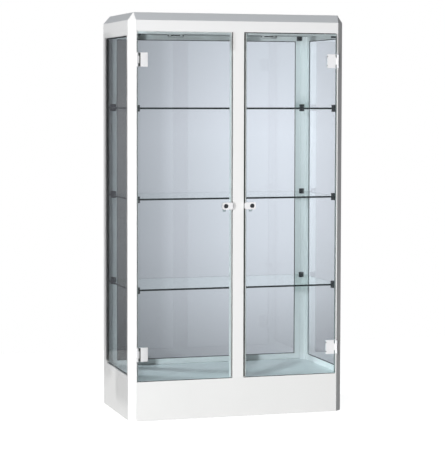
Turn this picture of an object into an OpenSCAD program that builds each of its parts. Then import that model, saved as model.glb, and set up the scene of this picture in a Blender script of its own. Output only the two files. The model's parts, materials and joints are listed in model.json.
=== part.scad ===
// Free-standing two-door glass display case on a plinth.
// White aluminium frame with bevelled corner posts, three glass shelves, two hinged glass doors.
// Millimetres, +Z up. The origin is the centre of the footprint, on the floor.
// The doors face -Y. Left is -X.

/* [Overall] */
// Width of the case over the posts
case_w = 1000; // [800:10:1400]
// Depth of the case from the front face to the back
case_d = 500; // [400:10:700]
// Height of the case from the floor to the roof
case_h = 1800; // [1500:10:2200]

/* [Plinth] */
// Height of the plinth and of the deck on it
plinth_h = 174; // [120:1:300]
// Thickness of a plinth panel
plinth_t = 16; // [12:1:20]
// Thickness of the deck
deck_t = 12; // [8:1:18]
// Side of the square battens that carry the deck
batten = 20; // [15:1:30]
// Clear space round the edge of a loose panel
panel_gap = 0.5; // [0.3:0.1:1]

/* [Posts] */
// Leg of the 45 degree bevel on the front posts
bevel = 30; // [26:1:36]
// Width of the lip beside the door
lip_w = 4; // [3:0.5:6]
// Reach of a front post from the side of the case
front_in = 22; // [21:0.5:26]
// Reach of a front post from the front of the case
front_back = 34; // [32:1:40]
// Reach of a front post's flange over the side glass
front_flange = 46; // [44:1:60]
// Side of a back post's square tube
back_box = 40; // [34:1:50]
// Reach of a back post's flanges over the glass
back_flange = 53; // [50:1:70]
// Leg of the 45 degree face on the inside of a back post
back_bevel = 12; // [8:1:16]
// Step from a front post's 45 degree face to its glass slot
slot_step = 2; // [1:0.5:4]
// Wall of a post
post_wall = 2.5; // [2:0.1:3]

/* [Mullion] */
// Width of the mullion's face
mullion_w = 50; // [40:1:70]
// Width of the stop on each side of the mullion's face
mullion_stop = 14; // [13:1:18]
// Thickness of the stops behind the doors
stop_t = 5; // [3:0.5:6]
// Clear space between a closed door and its stops
stop_gap = 2; // [1:0.1:3]
// Width of the mullion's tube behind the stops
mullion_box_w = 40; // [30:1:44]
// Clear space between that tube and the shelves' front edges
mullion_gap = 2; // [0.5:0.5:2.5]

/* [Top] */
// Height of the fascia above the doors
fascia_h = 48; // [36:1:80]
// Thickness of the fascia
fascia_t = 8; // [6:0.5:10]
// Height of the crown moulding
crown_h = 34; // [28:1:50]
// How far the crown leans in over its height
crown_run = 25; // [20:1:28]
// Width of the crown's flat foot
crown_foot = 30; // [29:0.5:36]
// Flat edge on top of the crown, outside the roof
crown_edge = 9; // [6:0.5:12]
// Ledge under the roof panel
roof_ledge = 12; // [8:1:16]
// Thickness of that ledge
ledge_t = 4; // [3:0.5:6]
// Thickness of the roof panel
roof_t = 5; // [3:0.5:8]
// Thickness of the ceiling panel over the display
ceiling_t = 4; // [3:0.5:6]
// How far the stop hangs below the fascia, behind the doors
top_stop = 12; // [8:1:20]

/* [Glazing] */
// Thickness of the side and back glass
glass_t = 6; // [4:0.5:8]
// Thickness of the flange outside the glass
flange_t = 6; // [5:0.5:8]
// Height of the bottom glazing rail
rail_low_h = 24; // [20:1:40]
// Height of the top glazing rail
rail_top_h = 20; // [16:1:30]
// Height of the seat that carries the glass inside a rail
rail_seat = 8; // [6:1:10]
// Face width of the glazing beads inside
bead_w = 24; // [20:1:32]
// Thickness of the glazing beads
bead_t = 4; // [3:0.5:6]
// How much higher a bead stands than its rail
bead_over = 2; // [1:0.5:3]
// Thickness of the rubber gasket between bead and glass
gasket_t = 1; // [0.8:0.1:2]
// Width of the gasket that shows past the bead
gasket_show = 3; // [2:0.5:5]
// Width of the gasket under the bead
gasket_under = 6; // [4:0.5:10]
// Clear space between the edge of a pane and its seat
pane_gap = 1; // [0.5:0.1:2]
// Open line at each mitre of the beads
mitre_gap = 0.3; // [0.2:0.1:1]

/* [Shelves] */
// Thickness of a shelf
shelf_t = 8; // [5:0.5:10]
// Height of the lowest shelf's middle above the deck
shelf_first = 404; // [300:1:450]
// Spacing of the shelves
shelf_pitch = 401; // [300:1:450]
// Clear space between a shelf and the beads
shelf_gap = 2; // [1:0.5:5]
// Distance of the shelf's front edge from the front of the case
shelf_front = 23; // [22:0.5:30]
// Clear space round the posts in the notched corners of a shelf
notch_gap = 4; // [2:0.5:8]

/* [Shelf clips] */
// Length of a clip, away from the frame
clip_l = 20; // [16:1:28]
// Width of a clip
clip_w = 16; // [12:1:17]
// Height of a clip
clip_h = 32; // [28:1:40]
// Thickness of each of a clip's two jaws
jaw_t = 8; // [5:0.5:10]
// Length of a clip's core
core_l = 14; // [10:1:15]
// Width of a clip's core
core_w = 10; // [7:1:11]
// Clear space above and below the glass in a clip
clip_gap = 0.1; // [0.1:0.1:0.3]

/* [Doors] */
// Thickness of the door glass
door_t = 6; // [5:0.5:8]
// Clear space above and below a door
door_gap = 3; // [2:0.5:5]
// Clear space between a door and the lip of its post
door_side_gap = 4; // [3.5:0.5:6]
// Clear space between a door and the mullion's face
door_free_gap = 10; // [9:0.5:14]

/* [Hinges] */
// Height of a hinge
hinge_h = 62; // [50:1:90]
// Height of the lower hinge's middle above the deck
hinge_low = 122; // [80:1:200]
// Distance of the upper hinge's middle below the fascia
hinge_high = 125; // [80:1:200]
// Width of the plate that holds the glass
plate_w = 38; // [30:1:50]
// Thickness of that plate
plate_t = 5; // [4:0.5:6]
// Thickness of the neck between plate and knuckle
neck_t = 2; // [1.5:0.5:3]
// Gap from the edge of the glass to the edge of the plate
plate_inset = 6; // [4:0.5:10]
// Radius of the post's knuckles
knuckle_r = 6; // [5:0.5:7]
// Radius of the door's knuckle
mid_knuckle_r = 4.5; // [4:0.5:5]
// Height of each of the post's two knuckles
knuckle_h = 14.5; // [10:0.5:20]
// Clear space between knuckles
knuckle_gap = 0.5; // [0.4:0.1:1]
// Distance of the hinge pin outside the face of the post beside the door
pin_out = 1; // [0:0.5:2]
// Clear space between the knuckles and the front of the post
knuckle_off = 0.3; // [0.2:0.1:1]
// Radius of the caps on the pin
pin_cap_r = 5; // [4:0.5:6]
// Thickness of the caps on the pin
pin_cap_t = 1.5; // [1:0.1:3]
// Radius of the hinge pin
pin_r = 2.5; // [2:0.1:3]
// Running clearance round the pin
pin_play = 0.05; // [0.03:0.01:0.08]
// Thickness of the leaf fixed to the post
leaf_t = 2; // [1.5:0.1:2.5]
// Thickness of the clamp plate inside the glass
clamp_t = 3; // [2:0.5:4]
// Radius of a hinge screw's shank
screw_r = 2; // [1.5:0.1:2.5]
// Radius of a hinge screw's head
screw_head_r = 4; // [3.5:0.1:5]
// Thickness of a hinge screw's head
screw_head_t = 2.5; // [2:0.1:3]
// Spacing of the two screws in a hinge
screw_pitch = 36; // [26:1:44]
// How far a hinge screw enters the outer plate
screw_bite = 3; // [2:0.1:3.5]
// Radius of the screw holes in the door glass
glass_hole_r = 3; // [2.6:0.1:4]

/* [Locks] */
// Height of the locks above the floor
lock_z = 946; // [700:1:1200]
// Length of a lock housing
lock_l = 50; // [46:1:60]
// Height of a lock housing
lock_h = 32; // [28:1:40]
// Thickness of a lock housing
lock_t = 12; // [8:0.5:12]
// Clear space between a housing and the mullion's face
lock_gap = 3; // [1.5:0.5:5]
// Radius of a lock's barrel
barrel_r = 10; // [9:0.5:12]
// Radius of the plug that turns in the barrel
plug_r = 7; // [6:0.5:8]
// Clear space round the barrel in the door glass
barrel_gap = 0.5; // [0.3:0.1:1]
// How far the barrel stands out of its housing
barrel_out = 1; // [0:0.5:2]
// Radius of the housing's corners
lock_round = 8; // [4:1:13]
// Running clearance of the plug, and fit of the barrel and nut
lock_play = 0.05; // [0.03:0.01:0.08]
// Clear space between the nut and the stop beside it
nut_gap = 8.5; // [6:0.5:10]
// Radius of the nut behind the glass
nut_r = 13.5; // [12:0.5:14]
// Thickness of the nut behind the glass
nut_t = 4; // [3:0.5:5]
// Side of the plug's square tail
tail = 7; // [5:0.5:8]
// Length of a lock's cam from its axis
cam_l = 27; // [24:1:32]
// Width of a lock's cam
cam_w = 14; // [12:0.5:16]
// Thickness of a lock's cam
cam_t = 3; // [2:0.5:4]
// Clear space between the cam and the stop it closes behind
cam_gap = 3.5; // [1:0.5:4]
// Width of the keyway
key_w = 2; // [1.5:0.1:3]
// Length of the keyway
key_l = 9; // [7:0.5:11]
// Depth of the keyway
key_d = 5; // [3:0.5:8]

/* [Lamps] */
// Radius of a lamp's ring under the ceiling
lamp_r = 37; // [30:1:45]
// Height of a lamp's ring under the ceiling
lamp_h = 19; // [12:1:25]
// Wall of a lamp's ring
lamp_wall = 11; // [6:1:14]
// Distance of each lamp from the middle of the case
lamp_x = 222; // [150:1:300]
// Thickness of a lamp's lens
lens_t = 3; // [2:0.5:4]
// Depth of the lens inside the ring
lens_in = 4; // [2:0.5:6]
// Clear space round the lens in the ring
lens_play = 0.1; // [0.1:0.05:0.3]
// Radius of a lamp's can above the ceiling
can_r = 29; // [20:1:32]
// Height of a lamp's can, from the underside of the ceiling
can_h = 42; // [20:1:44]
// Wall of a lamp's can
can_wall = 2; // [1:0.5:3]
// Clear space round a lamp's can in the ceiling
can_gap = 0.5; // [0.3:0.1:1]
// Side of the square ceiling blocks in the corners
block = 20; // [14:1:24]
// Height of the ceiling blocks
block_h = 20; // [10:1:24]
// Radius of the cable gland in the back of the fascia
gland_r = 9; // [7:0.5:12]
// Radius of the gland's cable hole
gland_bore = 4; // [3:0.5:5]
// Radius of the gland's nut inside the fascia
gland_nut_r = 13; // [12.5:0.5:16]
// Thickness of the gland's nut
gland_nut_t = 5; // [3:0.5:8]

/* [Hidden] */

$fn = 48;
// How far a cut passes the surface that it opens
cut = 1;

// The four corners of the case, as signs of x and y: front pair, then back pair
FRONT = [[-1, -1], [1, -1]];
BACK = [[-1, 1], [1, 1]];

// Planes, from the middle of the case outwards and from the floor upwards
half_w = case_w / 2;
half_d = case_d / 2;
crown_z = case_h - crown_h;
fascia_z = crown_z - fascia_h;
// Depths behind the outside faces of the sides and the back
glass_out = flange_t;
glass_in = glass_out + glass_t;
bead_out = glass_in + gasket_t;
bead_in = bead_out + bead_t;
// Front post: its faces beside the door and beside the side glass
post_face = bevel + lip_w;
lip_d = front_in + front_back - post_face;
slot_b = front_back + slot_step;
diag = sqrt(2);
// Doors
door_out_x = half_w - post_face - door_side_gap;
door_in_x = mullion_w / 2 + door_free_gap;
door_z0 = plinth_h + door_gap;
door_z1 = fascia_z - door_gap;
door_y = -half_d;
door_back_y = door_y + door_t;
stop_y = door_back_y + stop_gap;
stop_back_y = stop_y + stop_t;
stop_x = mullion_w / 2 + mullion_stop;
// Glazing frames
low_bead_h = rail_low_h + bead_over;
top_bead_h = rail_top_h + bead_over;
glass_z0 = plinth_h + rail_seat + pane_gap;
glass_z1 = fascia_z - rail_seat - pane_gap;
rails_y0 = -half_d + front_flange;
box_y = half_d - back_box;
box_x = half_w - back_box;
// Hinges
pin_x = half_w - post_face + pin_out;
pin_y = -half_d - knuckle_r - knuckle_off;
hinge_zs = [plinth_h + hinge_low, fascia_z - hinge_high];
mid_h = hinge_h - 2 * (knuckle_h + knuckle_gap);
plate_x1 = door_out_x - plate_inset;
plate_x0 = plate_x1 - plate_w;
plate_mid = (plate_x0 + plate_x1) / 2;
clamp_y1 = door_back_y + clamp_t;
// Locks
lock_x = stop_x + nut_r + nut_gap;
lock_x0 = mullion_w / 2 + lock_gap;
lock_front = -half_d - lock_t;
nut_y1 = door_back_y + nut_t;
cam_y = stop_back_y + cam_gap;
cam_back = cam_y + cam_t;
// Shelves
shelf_zs = [for (i = [0 : 2]) plinth_h + shelf_first + i * shelf_pitch];
shelf_x = half_w - bead_in - shelf_gap;
shelf_y0 = -half_d + shelf_front;
shelf_y1 = half_d - bead_in - shelf_gap;
front_sum = front_in + front_back;
back_sum = 2 * back_box - back_bevel;
// Crown
roof_in = crown_run + crown_edge;
crown_in = roof_in + roof_ledge;
ledge_z = crown_h - roof_t;

// A box from one corner to the opposite one
module span(a, b) {
    translate(a) cube(b - a);
}

// A flat shape in the case's corner frame: first axis in from the side, second in from front or back
module corner_prism(c, z0, z1) {
    mirror([c[0] > 0 ? 1 : 0, 0, 0]) mirror([0, c[1] > 0 ? 1 : 0, 0])
        translate([-half_w, -half_d, z0]) linear_extrude(z1 - z0) children();
}

// Its children and their mirror image
module both_sides() {
    children();
    mirror([1, 0, 0]) children();
}

// Its children as they are for the left, mirrored for the right
module on_side(s) {
    mirror([s > 0 ? 1 : 0, 0, 0]) children();
}

// A round bar along Y from y0 to y1
module bar_y(x, z, r, y0, y1) {
    translate([x, y1, z]) rotate([90, 0, 0]) cylinder(r = r, h = y1 - y0);
}

// ---- Plinth ----

module plinth_front() {
    color("white") span([-half_w + bevel, -half_d, 0], [half_w - bevel, -half_d + plinth_t, plinth_h]);
}

module plinth_back() {
    color("white") span([-half_w + plinth_t, half_d - plinth_t, 0], [half_w - plinth_t, half_d, plinth_h]);
}

module plinth_side(s) {
    color("white") on_side(s) span([-half_w, rails_y0, 0], [-half_w + plinth_t, half_d, plinth_h]);
}

module plinth_brace() {
    y = half_d - plinth_t - batten;
    color("burlywood") span([-batten / 2, -y, 0], [batten / 2, y, plinth_h - deck_t]);
}

module deck_battens() {
    z1 = plinth_h - deck_t;
    z0 = z1 - batten;
    y1 = half_d - plinth_t;
    x1 = half_w - plinth_t;
    front_x = half_w - front_flange;
    color("burlywood") {
        span([-front_x, -y1, z0], [front_x, -y1 + batten, z1]);
        span([-x1, y1 - batten, z0], [x1, y1, z1]);
        both_sides() span([-x1, rails_y0, z0], [-x1 + batten, y1 - batten - panel_gap, z1]);
    }
}

module deck() {
    x1 = half_w - plinth_t;
    y1 = half_d - plinth_t;
    color("aliceblue") difference() {
        span([-x1, -y1, plinth_h - deck_t], [x1, y1, plinth_h]);
        for (c = FRONT) corner_prism(c, plinth_h - deck_t - cut, plinth_h + cut)
            square([post_face + panel_gap, front_flange + panel_gap]);
    }
}

// ---- Posts ----

// The bevelled tube with a lip beside the door and a slot that holds the side glass
module front_post_section() {
    polygon([[bevel, 0], [post_face, 0], [post_face, lip_d], [front_in, front_back],
        [front_in, slot_b], [bead_in, slot_b], [bead_in, front_flange], [bead_out, front_flange],
        [bead_out, slot_b], [glass_out, slot_b], [glass_out, front_flange], [0, front_flange],
        [0, bevel]]);
}

module front_post_chamber() {
    w = post_wall;
    near = bevel + w * diag;
    far = front_sum - w * diag;
    polygon([[bevel - w, near - bevel + w], [bevel - w, far - bevel + w],
        [far - slot_b + w, slot_b - w], [w, slot_b - w], [w, near - w]]);
}

module post_front(c) {
    color("white") difference() {
        corner_prism(c, 0, crown_z) front_post_section();
        corner_prism(c, -cut, crown_z + cut) front_post_chamber();
        corner_prism(c, -cut, plinth_h) translate([bevel, -cut]) square(front_flange);
        corner_prism(c, fascia_z, crown_z + cut) translate([bevel, -cut]) square(front_flange);
    }
}

// The square tube with an inner 45 degree face and flanges over the side and back glass
module back_post_section() {
    k = back_box - back_bevel;
    polygon([[0, 0], [back_flange, 0], [back_flange, flange_t], [back_box, flange_t],
        [back_box, k], [k, back_box], [flange_t, back_box], [flange_t, back_flange],
        [0, back_flange]]);
}

module back_post_chamber() {
    w = flange_t + post_wall;
    far = back_box - post_wall;
    k = back_sum - post_wall * diag - far;
    polygon([[w, w], [far, w], [far, k], [k, far], [w, far]]);
}

// The outer layer of a back post, which stops where the rails pass round it
module back_post_skin() {
    difference() {
        translate([-cut, -cut]) square(back_flange + 2 * cut);
        translate([flange_t, flange_t]) square(back_flange + cut);
    }
}

module post_back(c) {
    color("white") difference() {
        corner_prism(c, plinth_h, fascia_z) back_post_section();
        corner_prism(c, plinth_h - cut, fascia_z + cut) back_post_chamber();
        corner_prism(c, plinth_h - cut, plinth_h + rail_low_h) back_post_skin();
        corner_prism(c, fascia_z - rail_top_h, fascia_z + cut) back_post_skin();
    }
}

// ---- Mullion and stops ----

module mullion() {
    fx = mullion_w / 2;
    bx = mullion_box_w / 2;
    back = shelf_y0 - mullion_gap;
    half = [[fx, -half_d], [fx, stop_y], [stop_x, stop_y], [stop_x, stop_back_y],
        [bx, stop_back_y], [bx, back]];
    color("white") translate([0, 0, plinth_h]) linear_extrude(fascia_z - plinth_h) difference() {
        polygon(concat(half, [for (i = [len(half) - 1 : -1 : 0]) [-half[i][0], half[i][1]]]));
        translate([-bx + post_wall, -half_d + post_wall])
            square([2 * (bx - post_wall), back + half_d - 2 * post_wall]);
    }
}

module top_stops() {
    color("white") both_sides()
        span([-half_w + post_face, stop_y, fascia_z - top_stop], [-stop_x, stop_back_y, fascia_z]);
}

// ---- Glazing ----

module side_rails(s) {
    x1 = -half_w + bead_out;
    xg = -half_w + glass_out;
    low = plinth_h;
    color("white") on_side(s) {
        span([-half_w, rails_y0, low], [xg, half_d, low + rail_low_h]);
        span([xg, rails_y0, low], [x1, box_y, low + rail_seat]);
        span([-half_w, rails_y0, fascia_z - rail_top_h], [xg, half_d, fascia_z]);
        span([xg, rails_y0, fascia_z - rail_seat], [x1, box_y, fascia_z]);
    }
}

module back_rails() {
    x1 = half_w - glass_out;
    y1 = half_d - bead_out;
    yg = half_d - glass_out;
    low = plinth_h;
    color("white") {
        span([-x1, yg, low], [x1, half_d, low + rail_low_h]);
        span([-box_x, y1, low], [box_x, yg, low + rail_seat]);
        span([-x1, yg, fascia_z - rail_top_h], [x1, half_d, fascia_z]);
        span([-box_x, y1, fascia_z - rail_seat], [box_x, yg, fascia_z]);
    }
}

module side_pane(s) {
    color("lightblue", 0.4) on_side(s)
        span([-half_w + glass_out, -half_d + slot_b + pane_gap, glass_z0],
            [-half_w + glass_in, box_y - pane_gap, glass_z1]);
}

module back_pane() {
    x1 = box_x - pane_gap;
    color("lightblue", 0.4)
        span([-x1, half_d - glass_in, glass_z0], [x1, half_d - glass_out, glass_z1]);
}

// A flat ring round the daylight rectangle u0..u1 by v0..v1 of a pane
module gasket_ring(u0, u1, v0, v1) {
    w = gasket_show + gasket_under;
    difference() {
        translate([u0 + gasket_show - w, v0 + gasket_show - w])
            square([u1 - u0 + 2 * (w - gasket_show), v1 - v0 + 2 * (w - gasket_show)]);
        translate([u0 + gasket_show, v0 + gasket_show])
            square([u1 - u0 - 2 * gasket_show, v1 - v0 - 2 * gasket_show]);
    }
}

module glazing_gaskets() {
    v0 = plinth_h + low_bead_h;
    v1 = fascia_z - top_bead_h;
    color("black") {
        both_sides() translate([-half_w + glass_in, 0, 0]) rotate([90, 0, 90])
            linear_extrude(gasket_t) gasket_ring(rails_y0, box_y - bead_w, v0, v1);
        translate([0, half_d - glass_in, 0]) rotate([90, 0, 0])
            linear_extrude(gasket_t) gasket_ring(-box_x + bead_w, box_x - bead_w, v0, v1);
    }
}

// The low and top bars of a bead frame, mitred at both ends where left is true, else at the last one
module bead_bars(u0, u1, left) {
    z0 = plinth_h;
    z1 = fascia_z;
    a = left ? [mitre_gap, bead_w + mitre_gap] : [0, 0];
    polygon([[u0 + a[0], z0], [u1 - mitre_gap, z0], [u1 - bead_w - mitre_gap, z0 + low_bead_h],
        [u0 + a[1], z0 + low_bead_h]]);
    polygon([[u0 + a[0], z1], [u1 - mitre_gap, z1], [u1 - bead_w - mitre_gap, z1 - top_bead_h],
        [u0 + a[1], z1 - top_bead_h]]);
}

// The upright bar of a bead frame, from its edge u0 beside the post to its edge u1 on the pane
module bead_stile(u0, u1) {
    polygon([[u0, plinth_h], [u1, plinth_h + low_bead_h], [u1, fascia_z - top_bead_h],
        [u0, fascia_z]]);
}

module side_beads(s) {
    color("white") on_side(s) translate([-half_w + bead_out, 0, 0]) rotate([90, 0, 90])
        linear_extrude(bead_t) {
            bead_bars(rails_y0, box_y, false);
            bead_stile(box_y, box_y - bead_w);
        }
}

module back_beads() {
    color("white") translate([0, half_d - bead_out, 0]) rotate([90, 0, 0])
        linear_extrude(bead_t) {
            bead_bars(-box_x, box_x, true);
            bead_stile(box_x, box_x - bead_w);
            bead_stile(-box_x, -box_x + bead_w);
        }
}

// ---- Shelves ----

// One clip at the origin: its back is on x = 0, the glass enters along x at z = 0
module clip() {
    slot = shelf_t + 2 * clip_gap;
    waist = clip_h - 2 * jaw_t;
    difference() {
        union() {
            for (z = [-clip_h / 2, clip_h / 2 - jaw_t])
                translate([0, -clip_w / 2, z]) cube([clip_l, clip_w, jaw_t]);
            translate([0, -core_w / 2, -waist / 2]) cube([core_l, core_w, waist]);
        }
        translate([notch_gap - clip_gap, -clip_w, -slot / 2]) cube([clip_l, 2 * clip_w, slot]);
    }
}

// The clips of one corner, on the post's 45 degree face
module corner_clips(c, sum) {
    corner_turn(c) for (z = shelf_zs) translate([sum / diag, 0, z]) clip();
}

// A frame at a corner of the case, with its x axis pointing diagonally inwards
module corner_turn(c) {
    mirror([c[0] > 0 ? 1 : 0, 0, 0]) mirror([0, c[1] > 0 ? 1 : 0, 0])
        translate([-half_w, -half_d, 0]) rotate([0, 0, 45]) children();
}

module shelf_clips() {
    color("black") {
        for (c = FRONT) corner_clips(c, front_sum);
        for (c = BACK) corner_clips(c, back_sum);
    }
}

module shelf(z) {
    // Where the cut corners meet the sides, the front and the back
    f = front_sum + notch_gap * diag;
    b = back_sum + notch_gap * diag;
    ax = half_w - shelf_x;
    half = [[half_w - f + shelf_front, shelf_y0], [shelf_x, -half_d + f - ax],
        [shelf_x, half_d - b + ax], [half_w - b + half_d - shelf_y1, shelf_y1]];
    color("lightblue", 0.5) translate([0, 0, z - shelf_t / 2]) linear_extrude(shelf_t)
        polygon(concat(half, [for (i = [len(half) - 1 : -1 : 0]) [-half[i][0], half[i][1]]]));
}

// ---- Top ----

module fascia_front() {
    x1 = half_w - bevel;
    color("white") span([-x1, -half_d, fascia_z], [x1, -half_d + fascia_t, crown_z]);
}

module fascia_back() {
    x1 = half_w - fascia_t;
    color("white") difference() {
        span([-x1, half_d - fascia_t, fascia_z], [x1, half_d, crown_z]);
        bar_y(0, (fascia_z + crown_z) / 2, gland_r, half_d - fascia_t - cut, half_d + cut);
    }
}

module fascia_side(s) {
    color("white") on_side(s)
        span([-half_w, rails_y0, fascia_z], [-half_w + fascia_t, half_d, crown_z]);
}

module ceiling() {
    g = fascia_t + panel_gap;
    x1 = half_w - g;
    y1 = half_d - g;
    color("white") difference() {
        span([-x1, -y1, fascia_z], [x1, y1, fascia_z + ceiling_t]);
        for (c = FRONT) corner_prism(c, fascia_z - cut, fascia_z + ceiling_t + cut)
            square([bevel + panel_gap, front_flange + panel_gap]);
        both_sides() translate([-lamp_x, 0, fascia_z - cut])
            cylinder(r = can_r + can_gap, h = ceiling_t + 2 * cut);
    }
}

module ceiling_blocks() {
    z0 = fascia_z - block_h;
    fx = half_w - post_face;
    by = half_d - bead_in;
    color("black") both_sides() {
        span([-fx, stop_back_y, z0], [-fx + block, stop_back_y + block, fascia_z]);
        span([-box_x, by - block, z0], [-box_x + block, by, fascia_z]);
    }
}

module lamp_rings() {
    color("whitesmoke") both_sides() translate([-lamp_x, 0, fascia_z - lamp_h]) difference() {
        cylinder(r = lamp_r, h = lamp_h);
        translate([0, 0, -cut]) cylinder(r = lamp_r - lamp_wall, h = lamp_h + 2 * cut);
    }
}

module lamp_lenses() {
    color("ivory") both_sides() translate([-lamp_x, 0, fascia_z - lamp_h + lens_in])
        cylinder(r = lamp_r - lamp_wall - lens_play, h = lens_t);
}

module lamp_cans() {
    color("silver") both_sides() translate([-lamp_x, 0, fascia_z]) difference() {
        cylinder(r = can_r, h = can_h);
        translate([0, 0, -cut]) cylinder(r = can_r - can_wall, h = can_h - can_wall + cut);
    }
}

module cable_gland() {
    z = (fascia_z + crown_z) / 2;
    y0 = half_d - fascia_t;
    color("dimgray") difference() {
        union() {
            bar_y(0, z, gland_r, y0, half_d);
            bar_y(0, z, gland_nut_r, y0 - gland_nut_t, y0);
        }
        bar_y(0, z, gland_bore, y0 - gland_nut_t - cut, half_d + cut);
    }
}

// Depth from the outside, height over the foot
module crown_section() {
    polygon([[0, 0], [crown_run, crown_h], [roof_in, crown_h], [roof_in, ledge_z],
        [crown_in, ledge_z], [crown_in, ledge_z - ledge_t], [crown_foot, ledge_z - ledge_t],
        [crown_foot, 0]]);
}

// The bevel of a front corner, carried up into the crown's apex
module crown_facet_cut(c) {
    big = 2 * crown_h + bevel;
    tilt = atan((2 * crown_run - bevel) / diag / crown_h);
    corner_turn(c) translate([bevel / diag, 0, crown_z]) rotate([0, tilt, 0])
        translate([-big, -big, -big]) cube([big, 2 * big, 2 * big]);
}

// A length of moulding on the front, mitred to the depth of the section at both ends
module crown_run_x() {
    intersection() {
        translate([-half_w, -half_d, crown_z]) rotate([90, 0, 90])
            linear_extrude(case_w) crown_section();
        translate([0, 0, crown_z - cut]) linear_extrude(crown_h + 2 * cut)
            polygon([[-half_w, -half_d], [half_w, -half_d], [half_w - crown_in, -half_d + crown_in],
                [-half_w + crown_in, -half_d + crown_in]]);
    }
}

module crown_front() {
    color("white") difference() {
        crown_run_x();
        for (c = FRONT) crown_facet_cut(c);
    }
}

module crown_back() {
    color("white") mirror([0, 1, 0]) crown_run_x();
}

module crown_side(s) {
    color("white") on_side(s) difference() {
        intersection() {
            translate([-half_w, half_d, crown_z]) rotate([90, 0, 0])
                linear_extrude(case_d) crown_section();
            translate([0, 0, crown_z - cut]) linear_extrude(crown_h + 2 * cut)
                polygon([[-half_w, -half_d], [-half_w + crown_in, -half_d + crown_in],
                    [-half_w + crown_in, half_d - crown_in], [-half_w, half_d]]);
        }
        crown_facet_cut(FRONT[0]);
    }
}

module roof() {
    x1 = half_w - roof_in - panel_gap;
    y1 = half_d - roof_in - panel_gap;
    color("white") span([-x1, -y1, case_h - roof_t], [x1, y1, case_h]);
}

// ---- Hinges, drawn for the left door ----

// The two heights at which a hinge's outer knuckles start
function knuckle_zs(z) = [z - hinge_h / 2, z + hinge_h / 2 - knuckle_h];

module hinge_post_leaves() {
    x0 = -half_w + post_face;
    color("white") both_sides() for (z = hinge_zs) difference() {
        union() {
            span([x0, -half_d, z - hinge_h / 2], [x0 + leaf_t, -half_d + lip_d - leaf_t, z + hinge_h / 2]);
            for (k = knuckle_zs(z)) {
                span([x0, pin_y + pin_r, k], [x0 + leaf_t, -half_d, k + knuckle_h]);
                translate([-pin_x, pin_y, k]) cylinder(r = knuckle_r, h = knuckle_h);
            }
        }
        translate([-pin_x, pin_y, z - hinge_h]) cylinder(r = pin_r + pin_play, h = 2 * hinge_h);
    }
}

module hinge_pins() {
    color("silver") both_sides() for (z = hinge_zs) translate([-pin_x, pin_y, z]) {
        translate([0, 0, -hinge_h / 2]) cylinder(r = pin_r, h = hinge_h);
        for (e = [-hinge_h / 2 - pin_cap_t, hinge_h / 2])
            translate([0, 0, e]) cylinder(r = pin_cap_r, h = pin_cap_t);
    }
}

module hinge_leaves(s) {
    color("white") on_side(s) for (z = hinge_zs) difference() {
        union() {
            span([-plate_x1, -half_d - plate_t, z - hinge_h / 2], [-plate_x0, -half_d, z + hinge_h / 2]);
            span([-pin_x, -half_d - plate_t, z - mid_h / 2],
                [-plate_x1, -half_d - plate_t + neck_t, z + mid_h / 2]);
            translate([-pin_x, pin_y, z - mid_h / 2]) cylinder(r = mid_knuckle_r, h = mid_h);
        }
        translate([-pin_x, pin_y, z - hinge_h]) cylinder(r = pin_r + pin_play, h = 2 * hinge_h);
        for (k = [-1, 1])
            bar_y(-plate_mid, z + k * screw_pitch / 2, screw_r + pin_play, -half_d - screw_bite,
                -half_d + cut);
    }
}

module hinge_clamps(s) {
    color("white") on_side(s) for (z = hinge_zs) difference() {
        span([-plate_x1, door_back_y, z - hinge_h / 2], [-plate_x0, clamp_y1, z + hinge_h / 2]);
        for (k = [-1, 1])
            bar_y(-plate_mid, z + k * screw_pitch / 2, screw_r + pin_play, door_back_y - cut,
                clamp_y1 + cut);
    }
}

module hinge_screws(s) {
    color("silver") on_side(s) for (z = hinge_zs, k = [-1, 1]) {
        zk = z + k * screw_pitch / 2;
        bar_y(-plate_mid, zk, screw_r, -half_d - screw_bite, clamp_y1);
        bar_y(-plate_mid, zk, screw_head_r, clamp_y1, clamp_y1 + screw_head_t);
    }
}

// ---- Doors, drawn for the left ----

module door_glass(s) {
    color("lightblue", 0.4) on_side(s) difference() {
        span([-door_out_x, door_y, door_z0], [-door_in_x, door_back_y, door_z1]);
        for (z = hinge_zs, k = [-1, 1])
            bar_y(-plate_mid, z + k * screw_pitch / 2, glass_hole_r, door_y - cut, door_back_y + cut);
        bar_y(-lock_x, lock_z, barrel_r + barrel_gap, door_y - cut, door_back_y + cut);
    }
}

module lock_housing(s) {
    r = lock_round;
    color("white") on_side(s) difference() {
        union() {
            span([-lock_x0 - lock_l + r, lock_front, lock_z - lock_h / 2],
                [-lock_x0 - r, -half_d, lock_z + lock_h / 2]);
            span([-lock_x0 - lock_l, lock_front, lock_z - lock_h / 2 + r],
                [-lock_x0, -half_d, lock_z + lock_h / 2 - r]);
            for (x = [-lock_x0 - r, -lock_x0 - lock_l + r], z = [-1, 1])
                bar_y(x, lock_z + z * (lock_h / 2 - r), r, lock_front, -half_d);
        }
        bar_y(-lock_x, lock_z, barrel_r + lock_play, lock_front - cut, -half_d + cut);
    }
}

module lock_barrel(s) {
    front = lock_front - barrel_out;
    color("silver") on_side(s) {
        difference() {
            bar_y(-lock_x, lock_z, barrel_r, front, nut_y1);
            bar_y(-lock_x, lock_z, plug_r + lock_play, front - cut, nut_y1 + cut);
        }
        difference() {
            bar_y(-lock_x, lock_z, nut_r, door_back_y, nut_y1);
            bar_y(-lock_x, lock_z, barrel_r + lock_play, door_back_y - cut, nut_y1 + cut);
        }
    }
}

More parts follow.
